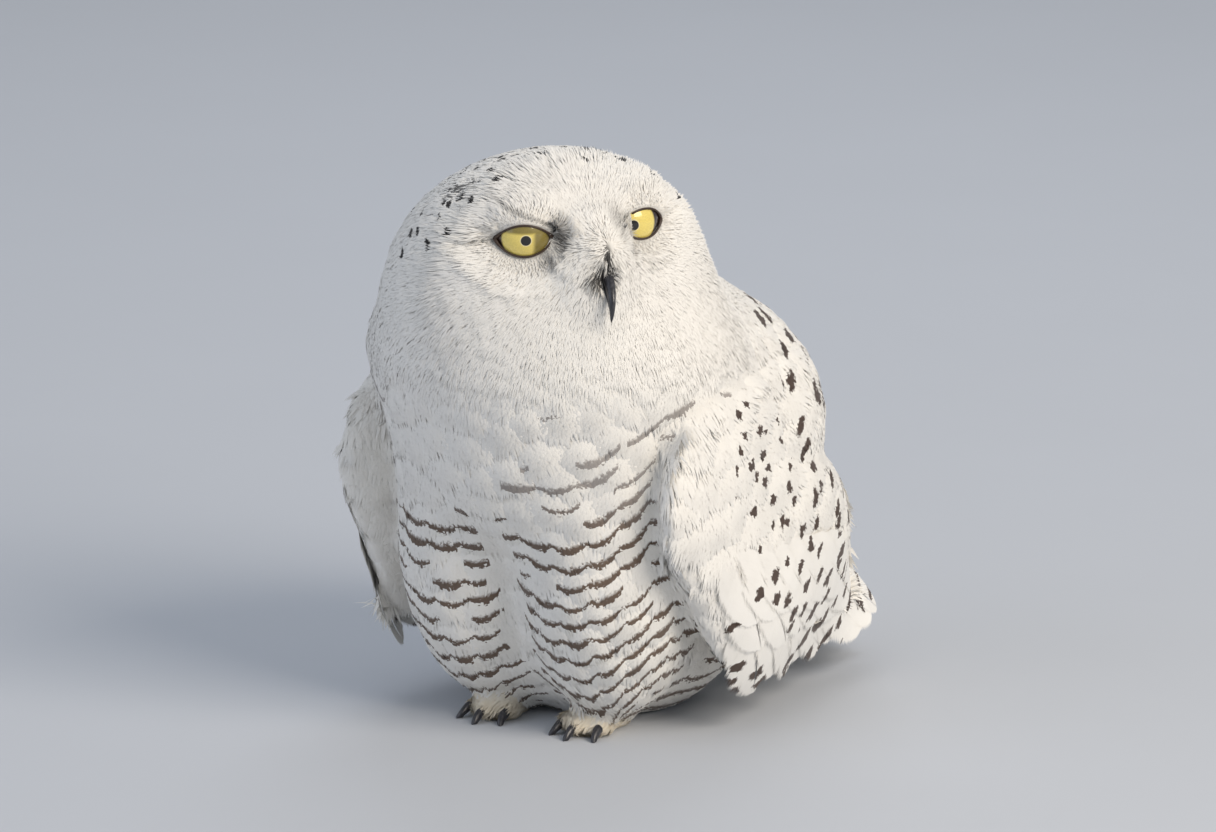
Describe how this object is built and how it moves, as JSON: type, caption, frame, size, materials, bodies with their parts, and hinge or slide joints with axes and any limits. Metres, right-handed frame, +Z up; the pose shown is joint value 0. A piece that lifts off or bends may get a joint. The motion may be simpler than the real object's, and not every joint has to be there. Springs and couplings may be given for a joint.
{
  "type": "snowy owl model",
  "caption": "Life-size still model of a snowy owl sitting hunched on the ground, head turned to the side, wings folded, feathered feet showing under the belly.",
  "frame": {"origin": "middle of the bounding box on the floor that the bird sits on", "axes": "+Z up, -Y the way the breast faces, +X the bird's own left"},
  "size_m": [0.2948, 0.4134, 0.4056],
  "materials": {
    "plumage": "soft white feathers with grey-brown bars and spots",
    "flight_feathers": "firm white vanes with dark bars",
    "iris": "yellow iris under a clear wet cornea, black pupil",
    "horn": "smooth black horn"
  },
  "bodies": {
    "root": {"head": "plumage", "neck": "plumage", "trunk": "plumage", "leg_left": "plumage", "leg_right": "plumage", "wing_left": "plumage", "wing_right": "plumage", "foot_left": "plumage", "foot_right": "plumage", "tail": "flight_feathers", "eye_left": "iris", "eye_right": "iris", "bill_upper": "horn", "bill_lower": "horn", "claw_left_inner": "horn", "claw_left_middle": "horn", "claw_left_outer": "horn", "claw_right_inner": "horn", "claw_right_middle": "horn", "claw_right_outer": "horn"}
  },
  "joints": []
}
